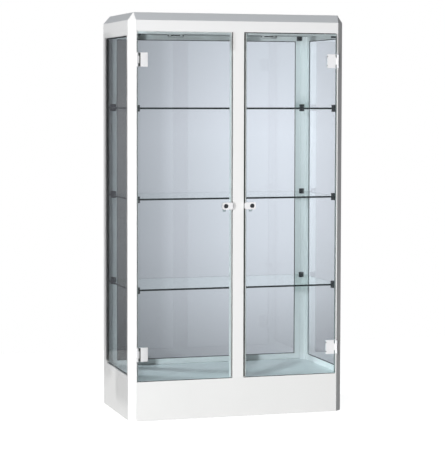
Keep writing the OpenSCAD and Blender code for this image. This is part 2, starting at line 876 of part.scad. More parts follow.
module lock_plug(s) {
    front = lock_front - barrel_out;
    color("gainsboro") on_side(s) difference() {
        union() {
            bar_y(-lock_x, lock_z, plug_r, front, nut_y1);
            span([-lock_x - tail / 2, nut_y1, lock_z - tail / 2],
                [-lock_x + tail / 2, cam_back, lock_z + tail / 2]);
        }
        span([-lock_x - key_l / 2, front - cut, lock_z - key_w / 2],
            [-lock_x + key_l / 2, front + key_d, lock_z + key_w / 2]);
    }
}

// Points down when open; a quarter turn brings it behind the mullion's stop
module lock_cam(s) {
    t = tail / 2 + lock_play;
    color("silver") on_side(s) difference() {
        union() {
            bar_y(-lock_x, lock_z, cam_w / 2, cam_y, cam_back);
            span([-lock_x - cam_w / 2, cam_y, lock_z - cam_l],
                [-lock_x + cam_w / 2, cam_back, lock_z]);
        }
        span([-lock_x - t, cam_y - cut, lock_z - t], [-lock_x + t, cam_back + cut, lock_z + t]);
    }
}

plinth_front();
plinth_back();
plinth_side(-1);  // plinth_left
plinth_side(1);  // plinth_right
plinth_brace();
deck_battens();
deck();
post_front(FRONT[0]);  // post_front_left
post_front(FRONT[1]);  // post_front_right
post_back(BACK[0]);  // post_back_left
post_back(BACK[1]);  // post_back_right
mullion();
top_stops();
side_rails(-1);  // left_glazing_rails
side_rails(1);  // right_glazing_rails
back_rails();  // back_glazing_rails
side_pane(-1);  // left_glass
side_pane(1);  // right_glass
back_pane();  // back_glass
glazing_gaskets();
side_beads(-1);  // left_glazing_beads
side_beads(1);  // right_glazing_beads
back_beads();  // back_glazing_beads
shelf_clips();
shelf(shelf_zs[0]);  // shelf_lower
shelf(shelf_zs[1]);  // shelf_middle
shelf(shelf_zs[2]);  // shelf_upper
fascia_front();
fascia_back();
fascia_side(-1);  // fascia_left
fascia_side(1);  // fascia_right
ceiling();
ceiling_blocks();
lamp_rings();
lamp_lenses();
lamp_cans();
cable_gland();
crown_front();
crown_back();
crown_side(-1);  // crown_left
crown_side(1);  // crown_right
roof();
hinge_post_leaves();
hinge_pins();
door_glass(-1);  // left_door_glass
hinge_leaves(-1);  // left_hinge_leaves
hinge_clamps(-1);  // left_hinge_clamps
hinge_screws(-1);  // left_hinge_screws
lock_housing(-1);  // left_lock_housing
lock_barrel(-1);  // left_lock_barrel
lock_plug(-1);  // left_lock_plug
lock_cam(-1);  // left_lock_cam
door_glass(1);  // right_door_glass
hinge_leaves(1);  // right_hinge_leaves
hinge_clamps(1);  // right_hinge_clamps
hinge_screws(1);  // right_hinge_screws
lock_housing(1);  // right_lock_housing
lock_barrel(1);  // right_lock_barrel
lock_plug(1);  // right_lock_plug
lock_cam(1);  // right_lock_cam
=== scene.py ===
import json
from math import pi, radians

import bpy
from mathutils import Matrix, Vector

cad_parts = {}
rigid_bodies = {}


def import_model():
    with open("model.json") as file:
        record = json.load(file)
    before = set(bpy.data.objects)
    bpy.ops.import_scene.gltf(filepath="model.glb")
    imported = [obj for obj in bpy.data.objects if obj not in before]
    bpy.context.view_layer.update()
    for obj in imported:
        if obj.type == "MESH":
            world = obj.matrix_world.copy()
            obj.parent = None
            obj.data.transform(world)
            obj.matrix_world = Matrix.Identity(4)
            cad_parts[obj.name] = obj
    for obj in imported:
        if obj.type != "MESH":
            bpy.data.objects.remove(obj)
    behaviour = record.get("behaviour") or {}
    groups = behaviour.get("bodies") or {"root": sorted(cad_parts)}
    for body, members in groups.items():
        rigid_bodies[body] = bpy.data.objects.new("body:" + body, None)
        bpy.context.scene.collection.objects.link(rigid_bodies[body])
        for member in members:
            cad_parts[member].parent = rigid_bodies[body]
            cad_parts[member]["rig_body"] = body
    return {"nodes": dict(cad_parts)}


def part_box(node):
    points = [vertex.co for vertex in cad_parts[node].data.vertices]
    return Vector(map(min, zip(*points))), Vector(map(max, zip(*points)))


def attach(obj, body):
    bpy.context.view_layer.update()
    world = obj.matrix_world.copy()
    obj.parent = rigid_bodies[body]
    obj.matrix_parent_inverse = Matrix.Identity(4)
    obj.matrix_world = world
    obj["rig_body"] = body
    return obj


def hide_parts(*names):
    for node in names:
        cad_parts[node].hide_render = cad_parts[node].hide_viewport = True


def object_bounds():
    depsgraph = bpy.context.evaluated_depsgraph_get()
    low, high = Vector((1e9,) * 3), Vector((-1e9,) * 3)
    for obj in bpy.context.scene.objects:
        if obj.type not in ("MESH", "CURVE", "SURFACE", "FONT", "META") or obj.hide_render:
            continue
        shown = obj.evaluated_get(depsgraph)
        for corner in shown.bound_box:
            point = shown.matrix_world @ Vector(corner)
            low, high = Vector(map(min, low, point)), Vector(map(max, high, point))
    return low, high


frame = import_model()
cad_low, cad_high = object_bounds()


# ---- Camera ----
# It stands eight metres in front of the case, left of the middle and at chest height, with a long lens.
# The picture is 445 by 449 pixels, so the 36 mm of the sensor go with its height.
camera_place = (-2.342, -7.716, 1.427)
camera_turn = radians(16.895)
camera_dip = radians(3.103)
camera_roll = radians(0.123)
camera_lens = 140.94
camera_shift = -0.07

bpy.ops.object.camera_add(location=camera_place, rotation=(pi / 2 - camera_dip, 0, -camera_turn))
camera = bpy.context.object
camera.rotation_euler.rotate_axis("Z", camera_roll)
camera.data.lens = camera_lens
camera.data.shift_y = camera_shift
bpy.context.scene.camera = camera


# ---- Plinth panels ----
# Four boards that stand on the floor, faced with satin white laminate. The front board ends at the bevels
# of the front posts. Their edges are banded and lightly rounded.
board_edge = 0.0012
board_white = (0.86, 0.86, 0.85, 1)
board_worn = (0.82, 0.82, 0.81, 1)
merge_distance = 2e-6
flat_angle = radians(1)
sharp_angle = radians(30)
smooth_angle = radians(50)
relief_strength = 0.4
patch_gloss = 0.12
grain_gloss = 0.06


class Shade:
    """A socket in a finish's node tree. Sums and products of sockets and numbers add Math nodes."""

    def __init__(self, tree, socket=None):
        self.tree = tree
        self.socket = socket

    def node(self, kind, settings=None, sockets=None, out=0):
        """Adds a node: its settings first, then the values or links of its sockets."""
        made = self.tree.nodes.new(kind)
        for name, value in (settings or {}).items():
            if name != "stops":
                setattr(made, name, value)
                continue
            stops = made.color_ramp.elements
            while len(stops) < len(value):
                stops.new(1)
            for stop, (place, colour) in zip(stops, value):
                stop.position = place
                stop.color = colour
        for name, value in (sockets or {}).items():
            if isinstance(value, Shade):
                self.tree.links.new(value.socket, made.inputs[name])
            else:
                made.inputs[name].default_value = value
        return Shade(self.tree, made.outputs[out] if len(made.outputs) else None)

    def math(self, operation, first, second):
        return self.node("ShaderNodeMath", {"operation": operation}, {0: first, 1: second})

    def __add__(self, other):
        return self.math("ADD", self, other)

    def __radd__(self, other):
        return self.math("ADD", other, self)

    def __sub__(self, other):
        return self.math("SUBTRACT", self, other)

    def __rsub__(self, other):
        return self.math("SUBTRACT", other, self)

    def __mul__(self, other):
        return self.math("MULTIPLY", self, other)

    def __rmul__(self, other):
        return self.math("MULTIPLY", other, self)

    def __lt__(self, other):
        return self.math("LESS_THAN", self, other)


def new_finish(name):
    """An empty finish, and the pen that draws its nodes."""
    finish = bpy.data.materials.new(name)
    finish.use_nodes = True
    finish.node_tree.nodes.clear()
    return finish, Shade(finish.node_tree)


def coat(name, pale, dark, gloss, patch, grain, depth, metal=0.0):
    """A coat whose tone drifts over patches of one size, and whose gloss breaks up in a fine grain."""
    finish, pen = new_finish(name)
    place = pen.node("ShaderNodeTexCoord", out="Object")
    drift = pen.node("ShaderNodeTexNoise", {}, {"Vector": place, "Scale": 1 / patch, "Detail": 3.0})
    peel = pen.node("ShaderNodeTexNoise", {}, {"Vector": place, "Scale": 1 / grain, "Detail": 2.0})
    tone = pen.node("ShaderNodeMix", {"data_type": "RGBA"}, {0: drift, 6: pale, 7: dark}, out=2)
    relief = pen.node("ShaderNodeBump", {}, {
        "Height": peel, "Strength": relief_strength, "Distance": depth})
    skin = pen.node("ShaderNodeBsdfPrincipled", {}, {
        "Base Color": tone, "Roughness": gloss + (drift - 0.5) * patch_gloss + (peel - 0.5) * grain_gloss,
        "Metallic": metal, "Normal": relief})
    pen.node("ShaderNodeOutputMaterial", {}, {"Surface": skin})
    return finish


def pick_up(piece):
    """Leaves only this piece selected, and makes it the active one."""
    bpy.ops.object.select_all(action="DESELECT")
    piece.select_set(True)
    bpy.context.view_layer.objects.active = piece


def shell_of(node, name):
    """A new piece with the shape of a part of the frame, merged to whole faces."""
    piece = bpy.data.objects.new(name, frame["nodes"][node].data.copy())
    bpy.context.scene.collection.objects.link(piece)
    piece.data.materials.clear()
    pick_up(piece)
    bpy.ops.mesh.customdata_custom_splitnormals_clear()
    bpy.ops.object.mode_set(mode="EDIT")
    bpy.ops.mesh.select_all(action="SELECT")
    bpy.ops.mesh.remove_doubles(threshold=merge_distance)
    bpy.ops.mesh.dissolve_limited(angle_limit=flat_angle)
    bpy.ops.mesh.mark_sharp(clear=True)
    bpy.ops.object.mode_set(mode="OBJECT")
    return piece


def soften(piece, width, steps=2):
    """Rounds every sharp edge of a piece to one width."""
    edge = piece.modifiers.new("edge", "BEVEL")
    edge.width = width
    edge.segments = steps
    edge.limit_method = "ANGLE"
    edge.angle_limit = sharp_angle
    pick_up(piece)
    bpy.ops.object.modifier_apply(modifier=edge.name)
    bpy.ops.object.shade_smooth_by_angle(angle=smooth_angle)
    flats = piece.modifiers.new("flats", "WEIGHTED_NORMAL")
    flats.keep_sharp = True
    bpy.ops.object.modifier_apply(modifier=flats.name)


def fit(piece, node, slot, *finishes):
    """Puts a piece in a node's place, on the body that the node rides on, in its finishes."""
    for finish in finishes:
        piece.data.materials.append(finish)
    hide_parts(node)
    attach(piece, frame["nodes"][node]["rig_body"])


def dress(node, slot, width, finish, steps=2):
    """Makes a node's piece in one finish, with its edges rounded."""
    piece = shell_of(node, node + ".finished")
    soften(piece, width, steps)
    fit(piece, node, slot, finish)


board = coat("faced_board", board_white, board_worn, gloss=0.42, patch=0.30, grain=0.0012, depth=0.0001)
for side in ("front", "back", "left", "right"):
    dress("plinth_" + side, "plinth_board", board_edge, board)


# ---- Brace and battens ----
# Planed pine under the deck: one brace from front to back, and four battens along the edges. The grain
# runs from front to back in the brace, and from side to side in the battens.
pine_edge = 0.0015
pine_pale = (0.62, 0.42, 0.22, 1)
pine_dark = (0.40, 0.22, 0.09, 1)
pine_gloss = 0.55
ring_patch = 0.015
ring_gloss = 0.2
ring_waver = 1.5
fibre_patch = 0.0015
fibre_depth = 0.0002
grain_stretch = 0.06


def pine(name, along):
    """Planed pine with its grain along one axis: 0 for x, 1 for y."""
    finish, pen = new_finish(name)
    place = pen.node("ShaderNodeTexCoord", out="Object")
    stretch = [1.0, 1.0, 1.0]
    stretch[along] = grain_stretch
    laid = pen.node("ShaderNodeMapping", {}, {"Vector": place, "Scale": stretch})
    growth = pen.node("ShaderNodeTexNoise", {}, {
        "Vector": laid, "Scale": 1 / ring_patch, "Detail": 5.0, "Distortion": ring_waver})
    fibre = pen.node("ShaderNodeTexNoise", {}, {"Vector": laid, "Scale": 1 / fibre_patch, "Detail": 2.0})
    tone = pen.node("ShaderNodeMix", {"data_type": "RGBA"}, {0: growth, 6: pine_pale, 7: pine_dark}, out=2)
    relief = pen.node("ShaderNodeBump", {}, {
        "Height": fibre, "Strength": relief_strength, "Distance": fibre_depth})
    wood = pen.node("ShaderNodeBsdfPrincipled", {}, {
        "Base Color": tone, "Roughness": pine_gloss + growth * ring_gloss, "Normal": relief})
    pen.node("ShaderNodeOutputMaterial", {}, {"Surface": wood})
    return finish


dress("plinth_brace", "batten_wood", pine_edge, pine("pine_brace", along=1))
dress("deck_battens", "batten_wood", pine_edge, pine("pine_battens", along=0))


# ---- Deck ----
# The floor of the lowest bay: a board with cool white laminate, notched round the two front posts. It lies
# on the brace and the battens.
deck_edge = 0.0006
deck_white = (0.90, 0.93, 0.94, 1)
deck_worn = (0.86, 0.90, 0.91, 1)

deck_laminate = coat("deck_laminate", deck_white, deck_worn, gloss=0.38, patch=0.22, grain=0.0010,
                     depth=0.00008)
dress("deck", "deck_board", deck_edge, deck_laminate)


# ---- Posts, mullion, stops and rails ----
# Extruded aluminium in satin white powder coat, sawn to length. The front posts are bevelled on the corner
# and carry a lip beside the door. The mullion has a stop on each side, behind the doors.
extrusion_edge = 0.0005
powder_white = (0.87, 0.87, 0.865, 1)
powder_worn = (0.84, 0.84, 0.835, 1)

powder = coat("powder_coat", powder_white, powder_worn, gloss=0.36, patch=0.35, grain=0.0007, depth=0.00006)
for node in ("post_front_left", "post_front_right", "post_back_left", "post_back_right", "mullion",
             "top_stops", "left_glazing_rails", "right_glazing_rails", "back_glazing_rails"):
    dress(node, "white_frame", extrusion_edge, powder)


# ---- Fixed panes ----
# Three panes of 6 mm float glass, held between the rails and the beads. Their cut edges are ground and
# look paler and greener than the faces.
pane_edge = 0.0004
float_tint = (0.90, 0.955, 0.94, 1)
float_tint_thin = (0.93, 0.97, 0.96, 1)
float_shade = (0.845, 0.90, 0.93, 1)
ground_pale = (0.66, 0.80, 0.76, 1)
ground_deep = (0.50, 0.68, 0.63, 1)
glass_index = 1.5
melt_scale = 2.5
facing = 0.9


def float_glass(name, deep, thin, shade):
    """Polished glass. It bends what is seen through it, and lamp light passes with a faint cast."""
    finish, pen = new_finish(name)
    place = pen.node("ShaderNodeTexCoord", out="Object")
    melt = pen.node("ShaderNodeTexNoise", {}, {"Vector": place, "Scale": melt_scale, "Detail": 1.0})
    tint = pen.node("ShaderNodeMix", {"data_type": "RGBA"}, {0: melt, 6: deep, 7: thin}, out=2)
    sheet = pen.node("ShaderNodeBsdfPrincipled", {}, {
        "Base Color": tint, "Roughness": 0.0, "IOR": glass_index, "Transmission Weight": 1.0})
    clear = pen.node("ShaderNodeBsdfTransparent", {}, {"Color": shade})
    shadow = pen.node("ShaderNodeLightPath", out="Is Shadow Ray")
    both = pen.node("ShaderNodeMixShader", {}, {0: shadow, 1: sheet, 2: clear})
    pen.node("ShaderNodeOutputMaterial", {}, {"Surface": both})
    return finish


def cut_faces(pane):
    """Puts a pane's second finish on its cut edges: all but its two large faces."""
    corners = [Vector(corner) for corner in pane.bound_box]
    sizes = [max(c[axis] for c in corners) - min(c[axis] for c in corners) for axis in range(3)]
    thin = sizes.index(min(sizes))
    for face in pane.data.polygons:
        face.material_index = int(abs(face.normal[thin]) < facing)


def glaze(node, slot, width, glass, edge):
    """A pane in its node's place, with its cut edges in a finish of their own."""
    pane = shell_of(node, node + ".finished")
    soften(pane, width)
    bpy.ops.mesh.customdata_custom_splitnormals_clear()
    bpy.ops.object.shade_flat()
    cut_faces(pane)
    fit(pane, node, slot, glass, edge)


clear_pane = float_glass("float_glass", float_tint, float_tint_thin, float_shade)
ground_edge = coat("ground_edge", ground_pale, ground_deep, gloss=0.50, patch=0.05, grain=0.0004,
                   depth=0.00005)
for side in ("left", "right", "back"):
    glaze(side + "_glass", "clear_glass", pane_edge, clear_pane, ground_edge)


# ---- Gaskets ----
# A flat ring of black rubber behind each frame of beads. It shows three millimetres past them as a thin
# dark line.
gasket_edge = 0.0002
rubber_black = (0.022, 0.023, 0.024, 1)
rubber_dusty = (0.045, 0.046, 0.046, 1)

rubber = coat("gasket_rubber", rubber_black, rubber_dusty, gloss=0.68, patch=0.04, grain=0.0005,
              depth=0.00008)
dress("glazing_gaskets", "seal_rubber", gasket_edge, rubber)


# ---- Glazing beads ----
# Flat aluminium strips inside the panes, mitred at the corners with a hair line left open, in the same
# powder coat as the frame.
bead_edge = 0.0006

for side in ("left", "right", "back"):
    dress(side + "_glazing_beads", "white_frame", bead_edge, powder)


# ---- Shelf clips ----
# Twelve black moulded clips on the 45 degree faces of the posts. Two jaws hold the cut corner of a shelf.
# The core behind and between them is filled out almost to their width and length.
clip_edge = 0.0009
core_widening = 0.0028
core_lengthening = 0.0055
core_belt = (0.0042, 0.0085)
core_middle = 0.0045
core_limit = 0.0090
shelf_levels = [sum(corner.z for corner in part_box("shelf_" + level)) / 2
                for level in ("lower", "middle", "upper")]
nylon_black = (0.014, 0.014, 0.016, 1)
nylon_grey = (0.030, 0.030, 0.033, 1)

nylon = coat("black_nylon", nylon_black, nylon_grey, gloss=0.45, patch=0.02, grain=0.0006, depth=0.00010)


def pick_faces(piece, wanted):
    """Opens a piece for editing with only the wanted faces selected."""
    pick_up(piece)
    bpy.ops.object.mode_set(mode="EDIT")
    bpy.ops.mesh.select_mode(type="FACE")
    bpy.ops.mesh.select_all(action="DESELECT")
    bpy.ops.object.mode_set(mode="OBJECT")
    for face in piece.data.polygons:
        face.select = wanted(face)
    bpy.ops.object.mode_set(mode="EDIT")


def off_axis(face):
    """How far a clip's face lies from the diagonal of its corner, in plan, times the root of two."""
    return abs((cad_high.x - abs(face.center.x)) - (cad_high.y - abs(face.center.y)))


def core_end(face):
    """True for the end of a clip's core, above or below the glass."""
    inwards = face.normal.x * face.center.x < 0 and face.normal.y * face.center.y < 0
    height = min(abs(face.center.z - level) for level in shelf_levels)
    return inwards and off_axis(face) < core_middle and core_belt[0] < height < core_belt[1]


def core_side(face):
    """True for a side of a clip's core."""
    return core_middle < off_axis(face) < core_limit


clips = shell_of("shelf_clips", "shelf_clips.finished")
for test, growth in ((core_end, core_lengthening), (core_side, core_widening)):
    for way in ((1, 1, 0), (1, -1, 0), (-1, 1, 0), (-1, -1, 0)):
        outwards = Vector(way).normalized()
        pick_faces(clips, lambda face: test(face) and face.normal.dot(outwards) > facing)
        bpy.ops.transform.translate(value=growth * outwards)
        bpy.ops.object.mode_set(mode="OBJECT")
soften(clips, clip_edge, steps=3)
fit(clips, "shelf_clips", "black_plastic", nylon)


# ---- Shelves ----
# Three sheets of 8 mm float glass with cut corners. Seen from the side, the long way through the glass
# makes the polished edge almost black.
shelf_edge = 0.0006
shelf_tint = (0.86, 0.945, 0.92, 1)
shelf_tint_thin = (0.90, 0.96, 0.94, 1)
shelf_shade = (0.90, 0.95, 0.935, 1)
edge_black = (0.001, 0.003, 0.003, 1)
edge_green = (0.004, 0.010, 0.009, 1)

shelf_pane = float_glass("shelf_glass", shelf_tint, shelf_tint_thin, shelf_shade)
shelf_side = coat("shelf_edge", edge_black, edge_green, gloss=0.16, patch=0.03, grain=0.0020, depth=0.00003)
for level in ("lower", "middle", "upper"):
    glaze("shelf_" + level, "shelf_glass", shelf_edge, shelf_pane, shelf_side)


# ---- Fascia and ceiling ----
# Sheet aluminium round the top, flush with the posts, and the panel that closes the display. The panels
# are coated like the frame.
panel_edge = 0.0007
panel_white = (0.86, 0.86, 0.86, 1)
panel_worn = (0.83, 0.83, 0.83, 1)

panel = coat("panel_coat", panel_white, panel_worn, gloss=0.38, patch=0.40, grain=0.0009, depth=0.00006)
for side in ("front", "back", "left", "right"):
    dress("fascia_" + side, "white_panel", panel_edge, panel)
dress("ceiling", "white_panel", panel_edge, panel)


# ---- Ceiling blocks ----
# Four black moulded blocks in the top corners, behind the top stops at the front and inside the beads at
# the back. The ceiling is fixed to them.
block_edge = 0.0012

dress("ceiling_blocks", "black_plastic", block_edge, nylon)


# ---- Lamps ----
# Two ceiling lamps: an enamelled ring under the ceiling, a frosted lens inside it and a spun aluminium can
# above. They are off, and the lenses are painted near black: painted shade for the dark inside of the
# lamps.
ring_edge = 0.0030
lens_edge = 0.0005
can_edge = 0.0006
enamel_white = (0.84, 0.84, 0.83, 1)
enamel_worn = (0.80, 0.80, 0.79, 1)
# The lenses' near black is painted shade for the unlit inside of the lamps.
lens_painted_shade = (0.030, 0.032, 0.034, 1)
lens_painted_shade_grey = (0.060, 0.062, 0.064, 1)
spun_pale = (0.70, 0.70, 0.71, 1)
spun_dark = (0.58, 0.58, 0.60, 1)

lamp_enamel = coat("lamp_enamel", enamel_white, enamel_worn, gloss=0.30, patch=0.05, grain=0.0008,
                   depth=0.00005)
lamp_lens_shade = coat("lamp_lens", lens_painted_shade, lens_painted_shade_grey, gloss=0.20, patch=0.02, grain=0.0012, depth=0.00020)
lamp_spun = coat("spun_aluminium", spun_pale, spun_dark, gloss=0.32, patch=0.03, grain=0.0010,
                 depth=0.00010, metal=1.0)
dress("lamp_rings", "lamp_white", ring_edge, lamp_enamel, steps=4)
dress("lamp_lenses", "lamp_lens", lens_edge, lamp_lens_shade)
dress("lamp_cans", "lamp_aluminium", can_edge, lamp_spun)


# ---- Lamp ring shade bands ----
# Four dark bands round the ring of each lamp, each over almost a fifth of a turn: painted shade for a
# recessed neck above the ring's rim. They are thin black bands, half sunk in the ring, and one of each four
# is turned towards the camera.
ring_low, ring_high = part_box("lamp_rings")
ring_radius = ring_high.y
ring_middle = ring_high.x - ring_radius
shade_band_height = 0.0046
shade_band_rise = 0.0089
shade_band_proud = 0.0004
shade_band_turn = radians(66)
shade_band_steps = 10
shade_band_facing = -pi / 2 - camera_turn


def start_piece(name):
    """An empty new piece, open for editing."""
    piece = bpy.data.objects.new(name, bpy.data.meshes.new(name))
    bpy.context.scene.collection.objects.link(piece)
    pick_up(piece)
    bpy.ops.object.mode_set(mode="EDIT")
    return piece


def seat(piece, body, finish):
    """Puts a piece that stands for no node on its body, in its finish."""
    piece.data.materials.append(finish)
    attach(piece, body)


ring_shade_bands = start_piece("lamp_ring_shade_bands")
for hand in (-1, 1):
    pivot = (hand * ring_middle, 0, 0)
    for quarter in range(4):
        start = shade_band_facing + quarter * pi / 2 + shade_band_turn / 2
        bpy.ops.mesh.select_all(action="DESELECT")
        bpy.ops.mesh.primitive_plane_add(size=1, rotation=(pi / 2, 0, 0))
        bpy.ops.transform.resize(value=(2 * shade_band_proud, 1, shade_band_height))
        bpy.ops.transform.translate(value=(pivot[0] + ring_radius, 0, ring_low.z + shade_band_rise))
        bpy.ops.transform.rotate(value=-start, orient_axis="Z", center_override=pivot)
        bpy.ops.mesh.spin(steps=shade_band_steps, angle=shade_band_turn, center=pivot, axis=(0, 0, 1))
bpy.ops.mesh.select_all(action="SELECT")
bpy.ops.mesh.remove_doubles(threshold=merge_distance)
bpy.ops.mesh.normals_make_consistent(inside=False)
bpy.ops.object.mode_set(mode="OBJECT")
bpy.ops.object.shade_smooth_by_angle(angle=sharp_angle)
seat(ring_shade_bands, "case", nylon)


# ---- Cable gland ----
# A black moulded outlet for the lamps' lead. It passes through the middle of the back fascia and has its
# nut inside.
gland_edge = 0.0008

dress("cable_gland", "black_plastic", gland_edge, nylon)


# ---- Crown and roof ----
# A sloping moulding, mitred at the corners, with the roof panel let into it. Its front corners carry the
# bevel of the posts up to the top, and these two facets have the colour of the posts.
crown_edge = 0.0009
# The moulding is painted greyer than the posts: painted shade on its sloping faces, which face up, away
# from the low lamps.
crown_shade_grey = (0.68, 0.70, 0.72, 1)
crown_shade_worn = (0.64, 0.66, 0.68, 1)
facet_lean = 0.3

crown_shaded_coat = coat("crown_shaded_coat", crown_shade_grey, crown_shade_worn, gloss=0.34, patch=0.35, grain=0.0009,
                  depth=0.00006)
for side in ("front", "back", "left", "right"):
    moulding = shell_of("crown_" + side, "crown_" + side + ".finished")
    for face in moulding.data.polygons:
        face.material_index = int(abs(face.normal.x) > facet_lean and face.normal.y < -facet_lean)
    soften(moulding, crown_edge)
    fit(moulding, "crown_" + side, "white_panel", crown_shaded_coat, powder)
dress("roof", "white_panel", panel_edge, panel)


# ---- Door seals and gap shade ----
# Soft black strips in the gaps round the doors: partly rubber seals and partly painted shade in the narrow
# gaps. They are stuck to the stops of the mullion, over the right door, to the lips of the posts between
# the hinges, and to the edge of the deck under the doors.
door_low, door_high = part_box("right_door_glass")
deck_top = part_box("deck")[1].z
frame_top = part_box("mullion")[1].z
stop_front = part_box("top_stops")[0].y
lip_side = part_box("post_front_right")[0].x
hinge_foot, hinge_top = [corner.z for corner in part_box("hinge_post_leaves")]
hinge_height = 0.062
seal_shade_round = 0.0004
seal_shade_lift = 0.0012
seal_shade_foot = deck_top + 0.004
left_seal_shade = (-0.0285, -0.0255)
right_seal_shade = (0.0260, 0.0340)
head_foot = frame_top - 0.004
head_gap = 0.0005
sill_start = 0.027
sill_inset = 0.0005
sill_height = 0.0018
lip_width = 0.005
lip_depth = (-0.2415, -0.2390)
lip_top = door_high.z - 0.002
lip_gap = 0.003
lip_stretches = (
    (seal_shade_foot, hinge_foot - lip_gap),
    (hinge_foot + hinge_height + lip_gap, hinge_top - hinge_height - lip_gap),
    (hinge_top + lip_gap, lip_top))


def strips(name, spans):
    """Straight strips, each drawn as its lower end and pulled up to its length."""
    piece = start_piece(name)
    for low, high in spans:
        bpy.ops.mesh.select_all(action="DESELECT")
        bpy.ops.mesh.primitive_plane_add(size=1)
        bpy.ops.transform.resize(value=(high[0] - low[0], high[1] - low[1], 1))
        bpy.ops.transform.translate(value=((low[0] + high[0]) / 2, (low[1] + high[1]) / 2, low[2]))
        bpy.ops.mesh.extrude_region_move(TRANSFORM_OT_translate={"value": (0, 0, high[2] - low[2])})
    bpy.ops.mesh.select_all(action="SELECT")
    bpy.ops.mesh.normals_make_consistent(inside=False)
    bpy.ops.object.mode_set(mode="OBJECT")
    return piece


def ends(hand, near, far):
    """The lower and higher x of a stretch on the left (-1) or right (1) half, given for the right one."""
    return sorted((hand * near, hand * far))


seal_and_shade_spans = [
    ((left_seal_shade[0], stop_front - seal_shade_lift, seal_shade_foot), (left_seal_shade[1], stop_front, frame_top)),
    ((right_seal_shade[0], stop_front - seal_shade_lift, seal_shade_foot), (right_seal_shade[1], stop_front, head_foot - head_gap)),
    ((right_seal_shade[0], stop_front - seal_shade_lift, head_foot), (door_high.x, stop_front, frame_top))]
for hand in (-1, 1):
    x = ends(hand, sill_start, door_high.x)
    seal_and_shade_spans.append((
        (x[0], door_low.y + sill_inset, deck_top), (x[1], door_high.y, deck_top + sill_height)))
    x = ends(hand, lip_side - lip_width, lip_side)
    for foot, top in lip_stretches:
        seal_and_shade_spans.append(((x[0], lip_depth[0], foot), (x[1], lip_depth[1], top)))
seals_and_gap_shade = strips("seals_and_gap_shade", seal_and_shade_spans)
soften(seals_and_gap_shade, seal_shade_round)
seat(seals_and_gap_shade, "case", rubber)


# ---- Shelf stops ----
# Six black moulded stops on the lips of the front posts. They keep the shelves from sliding out of their
# clips when the doors are open.
stop_round = 0.0008
stop_face = 0.450
stop_depth = (-0.2385, -0.2282)
stop_half = 0.014

stop_spans = []
for hand in (-1, 1):
    x = ends(hand, stop_face, lip_side)
    for level in shelf_levels:
        stop_spans.append((
            (x[0], stop_depth[0], level - stop_half), (x[1], stop_depth[1], level + stop_half)))
shelf_stops = strips("shelf_stops", stop_spans)
soften(shelf_stops, stop_round)
seat(shelf_stops, "case", nylon)


# ---- Hinges ----
# Four glass door hinges in white enamel. A plate outside and a clamp inside grip the door. The post's
# leaf has two outer knuckles, the plate has the middle one, and a steel pin with two caps joins them.
hinge_edge = 0.0009
pin_edge = 0.0005
screw_edge = 0.0005
hinge_white = (0.87, 0.87, 0.88, 1)
hinge_worn = (0.84, 0.84, 0.85, 1)
steel_pale = (0.62, 0.62, 0.61, 1)
steel_dark = (0.48, 0.48, 0.48, 1)

hinge_enamel = coat("hinge_enamel", hinge_white, hinge_worn, gloss=0.28, patch=0.03, grain=0.0006,
                    depth=0.00005)
steel = coat("turned_steel", steel_pale, steel_dark, gloss=0.28, patch=0.01, grain=0.0004, depth=0.00004,
             metal=1.0)
dress("hinge_post_leaves", "hinge_white", hinge_edge, hinge_enamel)
dress("hinge_pins", "steel", pin_edge, steel)
for side in ("left", "right"):
    dress(side + "_hinge_leaves", "hinge_white", hinge_edge, hinge_enamel)
    dress(side + "_hinge_clamps", "hinge_white", hinge_edge, hinge_enamel)
    dress(side + "_hinge_screws", "steel", screw_edge, steel)


# ---- Hinge liners and shade cushions ----
# A black nylon liner shows between each clamp and the edge of the glass. A black rubber cushion fills the
# gap between the plates of the left door and their knuckles: it is painted shade in that recess.
hinge_middles = (hinge_foot + hinge_height / 2, hinge_top - hinge_height / 2)
liner_round = 0.0003
liner_reach = 0.0300
liner_sides = (0.4563, 0.4607)
liner_lift = 0.0012
shade_cushion_sides = (-0.4566, -0.4512)
shade_cushion_lift = 0.0054

for hand, side in ((-1, "left"), (1, "right")):
    x = ends(hand, *liner_sides)
    liners = strips(side + "_hinge_liners", [
        ((x[0], door_high.y, middle - liner_reach), (x[1], door_high.y + liner_lift, middle + liner_reach))
        for middle in hinge_middles])
    soften(liners, liner_round)
    seat(liners, side + "_door", nylon)

# The cushions are painted shade: dark strips in the recess between each plate and its knuckle.
shade_cushions = strips("left_hinge_shade_cushions", [
    ((shade_cushion_sides[0], door_low.y - shade_cushion_lift, middle - liner_reach),
     (shade_cushion_sides[1], door_low.y, middle + liner_reach))
    for middle in hinge_middles])
soften(shade_cushions, liner_round)
seat(shade_cushions, "left_door", rubber)


# ---- Hinge grub screws ----
# Two small black screws at the free edge of each plate of the right door, each with a socket sunk in its
# face.
grub_x = 0.4176
grub_y = -0.2530
grub_rise = 0.0207
grub_radius = 0.0023
grub_length = 0.0052
grub_sides = 18
socket_wall = 0.45 * grub_radius
socket_depth = 0.2 * grub_length

grubs = start_piece("right_hinge_grubs")
for middle in hinge_middles:
    for rise in (-grub_rise, grub_rise):
        bpy.ops.mesh.select_all(action="DESELECT")
        bpy.ops.mesh.primitive_cylinder_add(
            vertices=grub_sides, radius=grub_radius, depth=grub_length, rotation=(pi / 2, 0, 0),
            location=(grub_x, grub_y, middle + rise))
bpy.ops.object.mode_set(mode="OBJECT")
pick_faces(grubs, lambda face: face.normal.y < -facing)
bpy.ops.mesh.inset(thickness=socket_wall, use_individual=True)
bpy.ops.transform.translate(value=(0, socket_depth, 0))
bpy.ops.object.mode_set(mode="OBJECT")
seat(grubs, "right_door", nylon)


